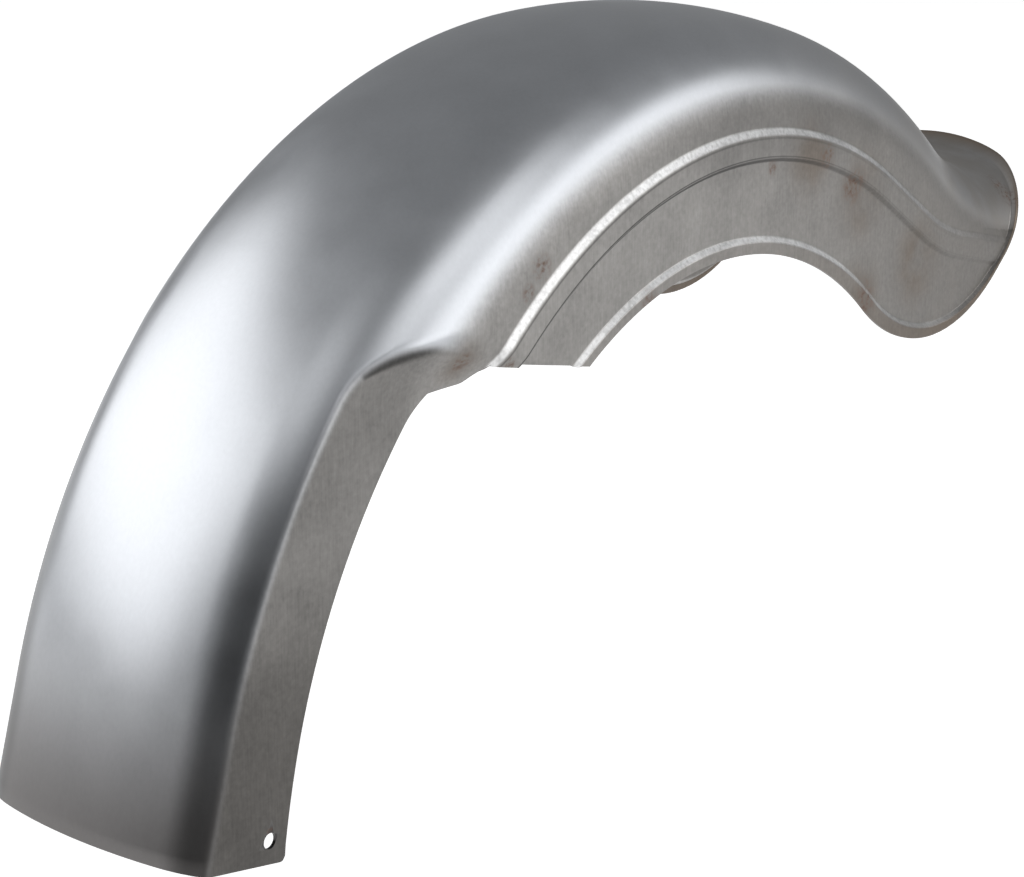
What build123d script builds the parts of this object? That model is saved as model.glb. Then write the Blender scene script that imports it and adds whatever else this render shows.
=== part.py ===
"""Bobbed motorcycle rear fender, pressed from one sheet of steel.

The frame: +X points to the rear of the machine, +Z up and +Y to the rider's right.
The origin is the middle of the front bolt's axis, which runs across both side walls.
The crown is an arc about the wheel axle; angles along it start at the front horizontal.
"""
import os
from math import asin, atan, atan2, cos, degrees, hypot, radians, sin, sqrt, tan

from build123d import *

# Sheet and section, in millimetres
sheet = 1.6
crown_radius = 376.0      # axle to the top of the crown
crown_arch = 215.0        # radius of the crown from side to side
shoulder_radius = 53.0    # broad shoulder between crown and side wall
rear_width = 178.0        # outside the side walls, over the wheel
front_width = 136.0       # outside the side walls, ahead of the flare
front_depth = 57.0        # crown to the lower edge of the front side wall
front_turn = 16.5         # degrees along the crown; ahead of it the sheet runs straight down
fold_radius = 6.0         # tight fold along the front side wall

# Tail, where the crown's curve turns over and sweeps up
tail_start = 128.9        # degrees along the crown
tail_radius = 152.0
tail_sweep = 64.0         # degrees, past the trailing edge

# Flare from the front width out to the rear width; its sizes are square to its slope
flare_slope = 25.0        # fall of the flare towards the rear, degrees
flare_depth = 264.0       # top of the crown's circle to the start of the flare
flare_run = 21.0          # rise over which the wall moves out
flare_blend = 45.0        # radius where the front wall turns into the flare

# Front cut of the skirt, with the gusset that joins it to the front wall's edge
cut_slope = 12.0          # fall of the cut towards the rear, degrees
cut_depth = 186.7         # top of the crown's circle to the cut, square to its slope
cut_notch = 1.3           # step in the cut, just below the strip
gusset_drop = 14.8        # the cut down to where the front wall's edge leaves its arc
gusset_run = 16.5         # distance along the slope from there to the gusset's lower corner
gusset_lift = 5.5         # rise of that corner, square to the slope
gusset_reach = 22.0       # distance along the slope to where the gusset meets the cut
gusset_round = 5.0

# Strip pressed out of the side wall; centres are side-view points from the axle
strip_centre = (-2.5, 31.7)
strip_depth = 89.5        # crown's radius less the radius of the strip's upper edge
strip_width = 16.5
strip_start = 44.0        # front end of the strip, degrees ahead of straight up
strip_turn = 31.5         # slope at which the strip leaves its arc, degrees
strip_straight = 52.0
strip_bend = 150.0        # radius of the strip's upward sweep at the tail
strip_end_slope = 13.0
strip_draft = 32.0        # slant of the strip's flanks, degrees
step_height = 3.8         # how far strip and lip stand out of the wall

# Skirt, round corner of the tail and trailing edge
skirt_centre = (-20.6, 43.1)
skirt_depth = 163.7       # crown's radius less the radius of the skirt's lower edge
corner_radius = 124.4
corner_depth = 201.2      # top of the crown's circle to the lowest point of the corner
trail_slope = 37.0        # rise of the trailing edge towards the rear, degrees
skirt_corner_round = 2.0

# Stepped lip along skirt, corner and trailing edge; it widens towards the middle of the skirt
lip_centre = (-16.5, 38.5)
lip_rise = 13.5           # radius of the lip's upper edge less that of the skirt's lower edge
lip_corner_inset = 6.4    # the corner's radius less the lip's radius there
lip_corner_rise = 7.8     # width of the lip at the lowest point of the corner

# Front end and its bolt hole
front_low = 37.7          # lower rear corner of the front wall, above the axle
front_cut_slope = 12.5    # fall of the front cut towards the rear, degrees
front_corner_round = 2.5
bolt_hole = 7.2
bolt_depth = 46.5         # crown to the bolt's axis
bolt_angle = 8.8          # bolt's axis above the front horizontal, degrees

# Sizes that follow from the ones above
rear_half = rear_width / 2
front_half = front_width / 2
crown_angle = degrees(asin((rear_half - shoulder_radius) / (crown_arch - shoulder_radius)))
shoulder_drop = crown_arch - (crown_arch - shoulder_radius) * cos(radians(crown_angle))
flare_angle = atan((rear_half - front_half) / flare_run)
flare_start = crown_radius - flare_depth
skirt_cut = crown_radius - cut_depth
high_cut = skirt_cut + cut_notch
gusset_start = skirt_cut - gusset_drop
strip_radius = crown_radius - strip_depth
strip_inset = sheet * tan(radians(90 - strip_draft) / 2)
strip_sweep = strip_turn - strip_end_slope
skirt_radius = crown_radius - skirt_depth
corner_low = crown_radius - corner_depth
lip_radius = skirt_radius + lip_rise
lip_corner_radius = corner_radius - lip_corner_inset
lip_low = corner_low + lip_corner_rise
bolt_radius = crown_radius - bolt_depth
form_depth = skirt_depth + sheet + 3 * step_height
reach = 2 * crown_radius

# Planes and axes, all placed from the axle
axle = Vector(cos(radians(bolt_angle)), 0, -sin(radians(bolt_angle))) * bolt_radius
turn = radians(tail_start)
turn_out = Vector(-cos(turn), 0, sin(turn))
axle_axis = Axis(axle, (0, 1, 0))
tail_axis = Axis(axle + turn_out * (crown_radius + tail_radius), (0, -1, 0))
bend = radians(front_turn)
front_plane = Plane(axle, x_dir=(0, 1, 0), z_dir=(sin(bend), 0, cos(bend)))
tail_plane = Plane(axle + turn_out * crown_radius, x_dir=(0, 1, 0), z_dir=(sin(turn), 0, cos(turn)))
side_plane = Plane(axle, x_dir=(1, 0, 0), z_dir=(0, -1, 0))
lean = radians(flare_slope)
fall = radians(cut_slope)
flare_plane = Plane(axle, x_dir=(0, 1, 0), z_dir=(cos(lean), 0, -sin(lean)))


def around(centre, radius, angle):
    """Side-view point on a circle; the angle runs from straight up towards the rear."""
    return (centre[0] + radius * sin(radians(angle)), centre[1] + radius * cos(radians(angle)))


def on_slope(height, along):
    """Side-view point at a height square to the cut's slope and a distance along it."""
    return (along * cos(fall) + height * sin(fall), height * cos(fall) - along * sin(fall))


def section(top, inset):
    """Outline across the sheet with the crown at height top, drawn inwards by inset."""
    half = rear_half - inset
    side = rear_half - shoulder_radius
    low = top - form_depth
    knee = top - shoulder_drop
    turn_angle = 90 - crown_angle
    Line((half, low), (half, knee))
    CenterArc((side, knee), shoulder_radius - inset, 0, turn_angle)
    CenterArc((0, top - crown_arch), crown_arch - inset, turn_angle, 2 * crown_angle)
    CenterArc((-side, knee), shoulder_radius - inset, 180 - turn_angle, turn_angle)
    Line((-half, knee), (-half, low))
    Line((-half, low), (half, low))


def form(inset):
    """The whole fender as a filled form, its surface drawn inwards by inset."""
    with BuildPart() as filled:
        with BuildSketch(front_plane) as front_face:
            with BuildLine():
                section(crown_radius, inset)
            make_face()
        revolve(axis=axle_axis, revolution_arc=tail_start - front_turn)
        extrude(front_face.sketch, amount=-crown_radius / 3)
        with BuildSketch(tail_plane):
            with BuildLine():
                section(0, inset)
            make_face()
        revolve(axis=tail_axis, revolution_arc=tail_sweep)
    return filled.part


def on_fold(edge):
    """True for an edge where the narrowed wall meets the crown, the shoulder or the rear wall."""
    spot = edge @ 0.5 - axle
    height = spot.X * sin(lean) + spot.Z * cos(lean)
    below_flare = height < flare_start + flare_run + 3
    on_crown = hypot(spot.X, spot.Z) > crown_radius - shoulder_drop and abs(spot.Y) > front_half - 5
    on_rear_wall = edge.geom_type == GeomType.LINE and abs(spot.Y) > rear_half - 5
    return spot.X < -shoulder_radius and spot.Z > 1 and below_flare and (on_crown or on_rear_wall)


def flared(inset):
    """The filled form with its front narrowed by the walls, and the fold rounded over."""
    half = front_half - inset
    start = flare_start + inset * tan(flare_angle / 2)
    wide = 2 * rear_half
    end = start + (wide - half) / tan(flare_angle)
    with BuildPart() as filled:
        add(form(inset))
        with BuildSketch(flare_plane):
            with BuildLine():
                Polyline((0, -reach), (half, -reach), (half, start), (wide, end), (wide, reach), (0, reach))
                mirror(about=Plane.YZ)
            make_face()
            bends = vertices().filter_by_position(Axis.Y, start - 1, start + 1)
            fillet(bends, flare_blend + inset)
        extrude(amount=reach, both=True, mode=Mode.INTERSECT)
        fillet(filled.edges().filter_by(on_fold), fold_radius - inset)
    return filled.part


def strip_edge(radius, bend, inset):
    """One edge of the strip: an arc over the wheel, a straight fall, then the sweep to the tail."""
    arc = ThreePointArc(
        around(strip_centre, radius, degrees(inset / radius) - strip_start),
        around(strip_centre, radius, -10),
        around(strip_centre, radius, strip_turn),
    )
    fall = Line(arc @ 1, arc @ 1 + (arc % 1) * strip_straight)
    sweep = JernArc(fall @ 1, fall % 1, bend, strip_sweep)
    return arc, Line(sweep @ 1, sweep @ 1 + (sweep % 1) * corner_radius)


def strip(inset):
    """Both raised strips, rooted in the form, with slanted flanks and drawn inwards by inset."""
    drawn = strip_inset * inset / sheet
    slant = step_height * tan(radians(strip_draft))
    root = -shoulder_radius / 2
    with BuildPart() as band:
        for height, narrow in ((root, drawn), (0, drawn), (step_height, drawn + slant)):
            level = rear_half - inset + height
            with BuildSketch(Plane(axle - (0, level, 0), x_dir=(1, 0, 0), z_dir=(0, -1, 0))):
                with BuildLine():
                    upper, upper_end = strip_edge(strip_radius - narrow, strip_bend + narrow, inset)
                    lower, lower_end = strip_edge(
                        strip_radius - strip_width + narrow, strip_bend + strip_width - narrow, inset
                    )
                    Line(upper @ 0, lower @ 0)
                    Line(upper_end @ 1, lower_end @ 1)
                make_face()
        loft(ruled=True)
        mirror(about=Plane.XZ)
    return band.part


def lower_edge(centre, radius, corner, low, front_angle):
    """Arc of the skirt, round corner that runs out of it, and trailing edge that leaves the corner."""
    rise = low + corner - centre[1]
    run = sqrt((radius + corner) ** 2 - rise**2)
    corner_centre = (centre[0] + run, centre[1] + rise)
    skirt = ThreePointArc(
        around(centre, radius, front_angle),
        around(centre, radius, 0),
        around(centre, radius, degrees(atan2(run, rise))),
    )
    turn_up = ThreePointArc(
        skirt @ 1,
        around(corner_centre, corner, 180),
        around(corner_centre, corner, 180 - trail_slope),
    )
    trail = Line(turn_up @ 1, turn_up @ 1 + (turn_up % 1) * reach)
    return skirt, trail


def lip(inset):
    """Zone of the stepped lip: the filled form, moved out by the step, outside the panel."""
    with BuildPart() as zone:
        add(form(inset - step_height))
        with BuildSketch(side_plane):
            with BuildLine():
                skirt, trail = lower_edge(
                    lip_centre, lip_radius - inset, lip_corner_radius + inset, lip_low - inset, -90
                )
                near, far = skirt @ 0, trail @ 1
                Polyline(near, (near.X, -reach), (-reach, -reach), (-reach, reach), (far.X, reach), far)
            make_face()
        extrude(amount=reach, both=True, mode=Mode.SUBTRACT)
    return zone.part


def along_cut(centre, radius, height):
    """Distance along the cut's slope, at a height, to where it enters a side-view circle."""
    level = centre[0] * sin(fall) + centre[1] * cos(fall)
    middle = centre[0] * cos(fall) - centre[1] * sin(fall)
    return middle - sqrt(radius**2 - (height - level) ** 2)


def trimmed_edge():
    """Side view of the trimmed sheet, closed round the outside; gives its four rounded corners."""
    front_radius = crown_radius - front_depth
    front_corner = (-sqrt(front_radius**2 - front_low**2), front_low)
    front_rise = (front_corner[0] + reach) * tan(radians(front_cut_slope))
    front_far = (-reach, front_low + front_rise)
    gusset_along = along_cut((0, 0), front_radius, gusset_start)
    gusset = on_slope(gusset_start, gusset_along)
    gusset_low = on_slope(gusset_start + gusset_lift, gusset_along + gusset_run)
    gusset_end = on_slope(skirt_cut, gusset_along + gusset_reach)
    notch_along = along_cut(strip_centre, strip_radius - strip_width, skirt_cut)
    notch = on_slope(skirt_cut, notch_along)
    notch_end = on_slope(high_cut, notch_along + 2 * cut_notch)
    skirt_corner = on_slope(high_cut, along_cut(skirt_centre, skirt_radius, high_cut))
    skirt_angle = degrees(asin((skirt_corner[0] - skirt_centre[0]) / skirt_radius))
    middle = (degrees(atan2(*front_corner)) + degrees(atan2(*gusset))) / 2
    Line(front_far, front_corner)
    ThreePointArc(front_corner, around((0, 0), front_radius, middle), gusset)
    skirt, trail = lower_edge(skirt_centre, skirt_radius, corner_radius, corner_low, skirt_angle)
    Polyline(gusset, gusset_low, gusset_end, notch, notch_end, skirt @ 0)
    far = trail @ 1
    Polyline(far, (far.X, reach), (-reach, reach), front_far)
    return front_corner, gusset, gusset_low, skirt_corner


with BuildPart() as outer:
    add(flared(0))
    add(strip(0))
    add(lip(0))

with BuildPart() as inner:
    add(flared(sheet))
    add(strip(sheet))
    add(lip(sheet))

with BuildPart() as fender_shell:
    add(outer.part)
    add(inner.part, mode=Mode.SUBTRACT)
    with BuildSketch(side_plane) as side_view:
        with BuildLine():
            front_corner, gusset, gusset_low, skirt_corner = trimmed_edge()
        make_face()
        for corner, radius in (
            (front_corner, front_corner_round),
            (gusset, gusset_round),
            (gusset_low, gusset_round),
            (skirt_corner, skirt_corner_round),
        ):
            fillet(vertices().sort_by_distance(corner)[0], radius)
    extrude(amount=reach, both=True, mode=Mode.INTERSECT)
    with BuildSketch(Plane.XZ):
        Circle(bolt_hole / 2)
    extrude(amount=rear_width, both=True, mode=Mode.SUBTRACT)

fender_shell.part.label = "fender_shell"
os.makedirs("parts", exist_ok=True)
export_step(fender_shell.part, "parts/fender_shell.step")
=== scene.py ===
"""Looks of a bare steel motorcycle rear fender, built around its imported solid.

The sheet is laid out as four grids on the near half: the crown with the front wall, the gusset
behind that wall, the skirt with its pressed strip, and the stepped lip along the edge. They are
joined, mirrored across the machine's middle plane, given the sheet's thickness, drilled for the
front bolt and rounded along the edges.
"""
import math

import bpy
import numpy as np
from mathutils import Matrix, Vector


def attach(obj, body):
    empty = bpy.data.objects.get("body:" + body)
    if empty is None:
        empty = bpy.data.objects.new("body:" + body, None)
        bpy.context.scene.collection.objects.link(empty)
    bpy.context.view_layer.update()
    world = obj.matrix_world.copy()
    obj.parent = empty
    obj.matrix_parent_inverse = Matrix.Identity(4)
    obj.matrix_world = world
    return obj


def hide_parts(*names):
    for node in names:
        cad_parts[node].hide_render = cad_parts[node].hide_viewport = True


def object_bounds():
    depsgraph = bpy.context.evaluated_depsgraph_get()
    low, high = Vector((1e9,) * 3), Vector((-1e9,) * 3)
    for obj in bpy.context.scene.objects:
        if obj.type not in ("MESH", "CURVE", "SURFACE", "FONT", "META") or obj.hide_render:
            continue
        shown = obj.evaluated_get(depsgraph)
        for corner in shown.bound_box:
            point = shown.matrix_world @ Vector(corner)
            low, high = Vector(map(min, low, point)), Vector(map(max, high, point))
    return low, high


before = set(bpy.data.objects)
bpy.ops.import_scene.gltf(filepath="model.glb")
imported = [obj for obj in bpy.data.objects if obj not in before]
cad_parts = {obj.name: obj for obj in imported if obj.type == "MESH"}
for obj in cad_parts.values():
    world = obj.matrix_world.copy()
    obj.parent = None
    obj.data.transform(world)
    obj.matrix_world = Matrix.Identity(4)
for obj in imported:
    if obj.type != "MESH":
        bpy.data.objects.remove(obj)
cad_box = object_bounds()

bl_info = {
    "name": "Bare Steel Rear Fender",
    "version": (1, 0, 0),
    "blender": (4, 5, 0),
    "location": "View3D > Sidebar > Fender",
    "description": "Models a pressed steel rear fender, its finish and a plain studio",
    "category": "Object",
}

# Marks that the sheet's corners carry for the finish: the walls, the stained edge, the painted highlight on
# the ledges and the painted shade in the strip's creases
MARKS = ("walled", "near_edge", "ledge", "hollow")
# Corners of neighbouring grids that lie closer than this, in metres, are one
MERGE_DISTANCE = 0.00001


def length(name, description, default):
    """A size in metres."""
    return bpy.props.FloatProperty(
        name=name, description=description, default=default, precision=4, unit="LENGTH", subtype="DISTANCE"
    )


def angle(name, description, default):
    """An angle, given in degrees and kept in radians."""
    return bpy.props.FloatProperty(
        name=name, description=description, default=math.radians(default), subtype="ANGLE"
    )


def side_point(name, description, default):
    """A side-view point, rearwards and up from the axle."""
    return bpy.props.FloatVectorProperty(
        name=name, description=description, size=2, default=default, precision=4, unit="LENGTH"
    )


def number(name, description, default):
    """A plain number."""
    return bpy.props.FloatProperty(name=name, description=description, default=default, min=0.0)


def colour(name, description, default):
    """A linear colour."""
    return bpy.props.FloatVectorProperty(
        name=name, description=description, size=3, default=default, subtype="COLOR", min=0.0, max=1.0
    )


class FenderSizes(bpy.types.PropertyGroup):
    """Sizes of the pressed sheet."""

    sheet: length("Sheet", "Thickness of the steel", 0.0016)
    crown_radius: length("Crown radius", "Axle to the top of the crown", 0.376)
    crown_arch: length("Crown arch", "Radius of the crown from side to side", 0.215)
    shoulder_radius: length("Shoulder radius", "Shoulder between crown and side wall", 0.053)
    rear_width: length("Rear width", "Outside the side walls, over the wheel", 0.178)
    front_width: length("Front width", "Outside the side walls, ahead of the flare", 0.136)
    front_depth: length("Front depth", "Crown to the lower edge of the front wall", 0.057)
    front_turn: angle("Front turn", "Angle along the crown ahead of which the sheet runs straight", 16.5)
    fold_radius: length("Fold radius", "Tight fold along the front wall", 0.006)
    fold_end: length("Fold end", "Radius to which the fold opens where it runs out in the side wall", 0.020)
    tail_start: angle("Tail start", "Angle along the crown where it turns over", 128.9)
    tail_radius: length("Tail radius", "Radius of the tail's upward sweep", 0.152)
    flare_slope: angle("Flare slope", "Fall of the flare towards the rear", 25.0)
    flare_depth: length("Flare depth", "Top of the crown's circle to the start of the flare", 0.264)
    flare_run: length("Flare run", "Rise over which the wall moves out", 0.021)
    flare_blend: length("Flare blend", "Radius where the front wall turns outwards", 0.045)
    cut_slope: angle("Cut slope", "Fall of the skirt's front cut towards the rear", 12.0)
    cut_depth: length("Cut depth", "Top of the crown's circle to that cut", 0.1867)
    cut_notch: length("Cut notch", "Step in the cut, below the strip", 0.0013)
    gusset_drop: length("Gusset drop", "Cut down to where the front wall's edge leaves its arc", 0.0148)
    gusset_run: length("Gusset run", "Distance along the slope to the gusset's lower corner", 0.0165)
    gusset_lift: length("Gusset lift", "Rise of that corner", 0.0055)
    gusset_reach: length("Gusset reach", "Distance along the slope to the gusset's rear corner", 0.022)
    gusset_round: length("Gusset round", "Radius of the gusset's lower corner", 0.005)
    strip_centre: side_point("Strip centre", "Centre of the strip's arc", (-0.0025, 0.0317))
    strip_depth: length("Strip depth", "Crown's radius less the radius of the strip's upper edge", 0.0895)
    strip_width: length("Strip width", "Width of the strip at its foot", 0.0165)
    strip_start: angle("Strip start", "Angle ahead of upright where the strip starts", 44.3)
    strip_fade: number("Strip fade", "Share of the strip's height that is left at the tail", 0.3)
    strip_turn: angle("Strip turn", "Slope at which the strip leaves its arc", 31.5)
    strip_straight: length("Strip straight", "Straight run behind the arc", 0.052)
    strip_bend: length("Strip bend", "Radius of the sweep along the strip's upper edge", 0.150)
    strip_end_slope: angle("Strip end slope", "Slope of the strip at the tail", 13.0)
    step_height: length("Step height", "How far strip and lip stand out of the wall", 0.0025)
    # The upper steps of strip and lip carry a painted highlight on their flanks
    step_run: length("Step run", "Width of a rubbed step from foot to brow", 0.0052)
    fall_run: length("Fall run", "Width of the step along the strip's lower edge", 0.0032)
    fall_spill: length("Fall spill", "How far that step's foot lies outside the strip", 0.0022)
    # Widths of the painted shade lines along the strip's ledge and its lower step
    ledge_line: length("Ledge line", "Width of the dark line under the strip's upper ledge", 0.0009)
    fall_line: length("Fall line", "Width of the dark line above the strip's lower step", 0.0006)
    skirt_centre: side_point("Skirt centre", "Centre of the skirt's lower edge", (-0.0206, 0.0431))
    skirt_depth: length("Skirt depth", "Crown's radius less the radius of the skirt's edge", 0.1637)
    corner_radius: length("Corner radius", "Round corner of the tail", 0.1244)
    corner_depth: length("Corner depth", "Top of the crown's circle to the corner's lowest point", 0.2012)
    rim_rise: length("Rim rise", "How far the trailing rim turns up on the crown", 0.0038)
    trail_slope: angle("Trail slope", "Rise of the trailing edge towards the rear", 37.0)
    lip_centre: side_point("Lip centre", "Centre of the lip's upper edge", (-0.0165, 0.0385))
    lip_rise: length("Lip rise", "Lip's radius less the skirt's radius", 0.0135)
    lip_corner_inset: length("Lip corner inset", "Corner's radius less the lip's radius there", 0.0064)
    lip_corner_rise: length("Lip corner rise", "Width of the lip under the corner", 0.0078)
    front_low: length("Front low", "Lower rear corner of the front wall above the axle", 0.0377)
    front_cut_slope: angle("Front cut slope", "Fall of the front cut towards the rear", 12.5)
    front_corner_round: length("Front corner round", "Radius of that corner", 0.0025)
    bolt_hole: length("Bolt hole", "Diameter of the hole for the front bolt", 0.0072)
    bolt_depth: length("Bolt depth", "Crown to the bolt's axis", 0.0465)
    bolt_angle: angle("Bolt angle", "Bolt's axis above the front horizontal", 8.8)
    edge_round: length("Edge round", "Rounding of the sheet's cut edges", 0.0004)


class FenderForm:
    """Section, side view and edges of the fender, worked out from its sizes, with the axle at zero."""

    def __init__(self, sizes):
        self.__dict__.update({name: getattr(sizes, name) for name in FenderSizes.__annotations__})
        self.rear_half = self.rear_width / 2
        self.front_half = self.front_width / 2
        self.side = self.rear_half - self.shoulder_radius
        self.crown_angle = math.asin(self.side / (self.crown_arch - self.shoulder_radius))
        self.drop = self.crown_arch - (self.crown_arch - self.shoulder_radius) * math.cos(self.crown_angle)
        self.front_radius = self.crown_radius - self.front_depth
        self.flare_start = self.crown_radius - self.flare_depth
        self.flare_angle = math.atan((self.rear_half - self.front_half) / self.flare_run)
        self.skirt_cut = self.crown_radius - self.cut_depth
        self.high_cut = self.skirt_cut + self.cut_notch
        self.gusset_start = self.skirt_cut - self.gusset_drop
        self.strip_radius = self.crown_radius - self.strip_depth
        self.skirt_radius = self.crown_radius - self.skirt_depth
        self.corner_low = self.crown_radius - self.corner_depth
        bolt_radius = self.crown_radius - self.bolt_depth
        self.axle = np.array(
            [bolt_radius * math.cos(self.bolt_angle), 0, -bolt_radius * math.sin(self.bolt_angle)]
        )
        reach = self.crown_radius + self.tail_radius
        self.tail_centre = reach * np.array([-math.cos(self.tail_start), math.sin(self.tail_start)])
        self.skirt_edge = EdgeLine(
            self.skirt_centre, self.skirt_radius, self.corner_radius, self.corner_low, self.trail_slope
        )
        self.lip_edge = EdgeLine(
            self.lip_centre,
            self.skirt_radius + self.lip_rise,
            self.corner_radius - self.lip_corner_inset,
            self.corner_low + self.lip_corner_rise,
            self.trail_slope,
        )

    def front_cut_angle(self, r):
        """Angle along the crown at which the front cut crosses a height of the straight front."""
        back = -math.sqrt(self.front_radius**2 - self.front_low**2)
        level = back * math.sin(self.front_cut_slope) + self.front_low * math.cos(self.front_cut_slope)
        turned = self.front_turn - self.front_cut_slope
        return self.front_turn - (r * math.sin(turned) - level) / (self.crown_radius * math.cos(turned))

    def side_view(self, r, a):
        """Side-view points at radii and angles; ahead of the turn the angle runs on along the tangent."""
        bent = np.maximum(a, self.front_turn)
        ahead = self.crown_radius * (bent - a)
        x = -r * np.cos(bent) - ahead * np.sin(bent)
        z = r * np.sin(bent) - ahead * np.cos(bent)
        return np.stack([x, z], -1)

    def rim_bearing(self, distance, edge):
        """Bearing from the tail's centre of an edge's trailing line, at distances from that centre."""
        level = edge.level - self.tail_centre @ edge.out
        return edge.slope - math.pi + np.arcsin(level / distance)

    def around_tail(self, points, edge):
        """Wall points turned about the tail's centre so that, raised, they end on a trailing line."""
        distance = np.hypot(*(points - self.tail_centre).T)
        bearing = self.rim_bearing(self.raised_distance(distance, self.wall(points)), edge)
        return self.tail_centre + distance[:, None] * np.stack([np.cos(bearing), np.sin(bearing)], -1)

    def raised_distance(self, distance, half_width):
        """Distance from the tail's centre of surface points once they are raised by the step."""
        _, _, lift = self.section_field(half_width, self.tail_radius - distance)
        return distance - lift * self.rim_height(half_width)

    def on_side(self, half_width):
        """1 where the trailing rim is on the side wall, 0 where it is on the crown."""
        return smooth((half_width - 0.4 * self.rear_half) / (0.55 * self.rear_half))

    def rim_height(self, half_width):
        """Height of the trailing rim, from the step on the wall to the soft upturn on the crown."""
        return self.rim_rise + (self.step_height - self.rim_rise) * self.on_side(half_width)

    def lip_rows(self, reach):
        """Distances of the lip's rows from its foot, and the width of the step, for its widths."""
        width = np.minimum(self.step_run, 0.45 * reach)
        rows = [width * share for share in np.linspace(0, 1, 11)]
        rows += [width + (reach - width) * share for share in (0.33, 0.67, 1.0)]
        return np.array(rows), width

    def skirt_corner(self):
        """Front corner of the skirt, where its edge meets the cut."""
        along = self.along_cut(self.skirt_centre, self.skirt_radius, self.high_cut)
        return self.on_slope(self.high_cut, along)

    def gusset_corners(self):
        """Front, low and rear corner of the gusset's lower edge."""
        start = self.along_cut((0, 0), self.front_radius, self.gusset_start)
        return (
            self.on_slope(self.gusset_start, start),
            self.on_slope(self.gusset_start + self.gusset_lift, start + self.gusset_run),
            self.on_slope(self.skirt_cut, start + self.gusset_reach),
        )

    def front_cut(self, top, lip):
        """Line from a point above the gusset's rear corner along the cut to the foot of the lip."""
        notch = self.along_cut(self.strip_centre, self.strip_radius - self.strip_width, self.skirt_cut)
        return np.array(
            [
                top,
                self.gusset_corners()[2],
                self.on_slope(self.skirt_cut, notch),
                self.on_slope(self.high_cut, notch + 2 * self.cut_notch),
                self.on_slope(self.high_cut, self.along_cut(lip.centre, lip.radius, self.high_cut)),
            ]
        )

    def on_slope(self, height, along):
        """Side-view point at a height square to the cut's slope and a distance along it."""
        c, s = math.cos(self.cut_slope), math.sin(self.cut_slope)
        return np.array([along * c + height * s, height * c - along * s])

    def along_cut(self, centre, radius, height):
        """Distance along the slope, at a height, to where it enters a side-view circle."""
        c, s = math.cos(self.cut_slope), math.sin(self.cut_slope)
        level = centre[0] * s + centre[1] * c
        middle = centre[0] * c - centre[1] * s
        return middle - math.sqrt(radius**2 - (height - level) ** 2)

    def section_field(self, y, h):
        """Distance outside the rear section and its direction; h is the height above the crown."""
        qy, qh = y - self.side, h + self.drop
        shoulder = np.hypot(qy, qh)
        crown = np.hypot(y, h + self.crown_arch)
        below = qh < 0
        on_crown = ~below & (np.arctan2(qy, qh) < self.crown_angle)
        distance = np.where(on_crown, crown - self.crown_arch, shoulder - self.shoulder_radius)
        distance = np.where(below, y - self.rear_half, distance)
        ny = np.where(on_crown, y / crown, qy / shoulder)
        nh = np.where(on_crown, (h + self.crown_arch) / crown, qh / shoulder)
        return distance, np.where(below, 1.0, ny), np.where(below, 0.0, nh)

    def flare_field(self, y, u):
        """Distance outside the narrowed front walls and its direction; u is square to the slope."""
        blend, start, turn = self.flare_blend, self.flare_start, self.flare_angle
        tangent = blend * math.tan(turn / 2)
        cy, cu = self.front_half + blend - y, u - (start - tangent)
        radius = np.maximum(np.hypot(cy, cu), 1e-9)
        bearing = np.arctan2(cu, cy)
        ramp = (y - self.front_half - (u - start) * math.tan(turn)) * math.cos(turn)
        before, after = cu < 0, bearing > turn
        distance = np.where(after, ramp, blend - radius)
        distance = np.where(before, y - self.front_half, distance)
        ny = np.where(before, 1.0, np.where(after, math.cos(turn), cy / radius))
        nu = np.where(before, 0.0, np.where(after, -math.sin(turn), -cu / radius))
        return distance, ny, nu

    def outside(self, y, r, a):
        """How far a point lies outside the fender's outer surface, with the fold rounded."""
        da, ay, ar = self.section_field(y, r - self.crown_radius)
        lift = np.sin(a - self.flare_slope)
        db, by, bu = self.flare_field(y, r * lift)
        c = np.clip(ay * by + ar * bu * lift, -0.999, 0.999)
        opened = smooth((y - self.rear_half + self.fold_end / 2) / (self.fold_end / 2))
        roll = self.fold_radius + (self.fold_end - self.fold_radius) * opened
        p, q = da + roll, db + roll
        rolled = np.sqrt(np.maximum(p * p + q * q - 2 * c * p * q, 0) / (1 - c * c)) - roll
        return np.where((p > c * q) & (q > c * p), rolled, np.maximum(da, db))

    def walled(self, y, r, a):
        """1 on the side and front walls and the flare, 0 on the crown."""
        da, out, _ = self.section_field(y, r - self.crown_radius)
        db, _, _ = self.flare_field(y, r * np.sin(a - self.flare_slope))
        return np.maximum(smooth((out - 0.90) / 0.095), smooth((db - da) / self.fold_radius + 0.5))

    def solve(self, start, stop, test):
        """Halves the span until test, which grows along it, crosses zero."""
        low, high = np.array(start, float), np.array(stop, float)
        for _ in range(36):
            middle = (low + high) / 2
            beyond = test(middle) > 0
            low, high = np.where(beyond, low, middle), np.where(beyond, middle, high)
        return (low + high) / 2

    def across(self, phi, a):
        """Half width and radius where a ray of the section, at angle phi from upright, leaves it."""
        base = self.crown_radius - self.drop
        t = self.solve(
            np.full(phi.shape, 0.005),
            np.full(phi.shape, 0.13),
            lambda t: self.outside(t * np.sin(phi), base + t * np.cos(phi), a),
        )
        return t * np.sin(phi), base + t * np.cos(phi)

    def tail_height(self, points):
        """Height above the crown of side-view points, about the axle or the tail's centre."""
        a = np.arctan2(points[..., 1], -points[..., 0])
        main = np.hypot(points[..., 0], points[..., 1]) - self.crown_radius
        swept = self.tail_radius - np.hypot(*(np.moveaxis(points - self.tail_centre, -1, 0)))
        return np.where(a > self.tail_start, swept, main), a

    def wall(self, points):
        """Half width of the outer surface at side-view points on the wall or low shoulder."""
        h, a = self.tail_height(points)
        return self.solve(
            np.full(h.shape, 0.045),
            np.full(h.shape, 0.11),
            lambda y: self.outside(y, h + self.crown_radius, np.where(a > self.tail_start, 1.8, a)),
        )

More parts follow.
